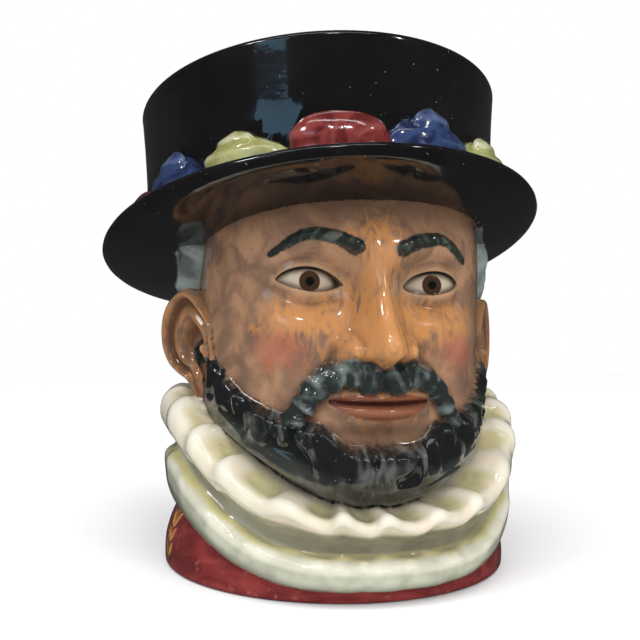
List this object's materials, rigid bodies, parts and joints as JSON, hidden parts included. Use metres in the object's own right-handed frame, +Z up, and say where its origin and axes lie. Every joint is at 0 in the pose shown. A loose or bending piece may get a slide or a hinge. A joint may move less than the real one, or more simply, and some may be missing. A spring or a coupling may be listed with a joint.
{
  "type": "character jug",
  "caption": "Glazed earthenware jug shaped as a bearded head in a round brimmed hat and a two-tiered ruff, open at the top, with a loop handle at the back.",
  "frame": {"origin": "centre of the flat foot, on the surface that the jug stands on", "axes": "+Z up, the face looks towards -Y, the handle is at +Y, +X is the figure's left"},
  "size_m": [0.1514, 0.169, 0.162],
  "materials": {
    "glazed_earthenware": "hand-painted under a clear high-gloss glaze: black hat, flesh face, dark grey beard, cream ruff, maroon coat and handle"
  },
  "bodies": {
    "root": {"character_jug": "glazed_earthenware"}
  },
  "joints": []
}
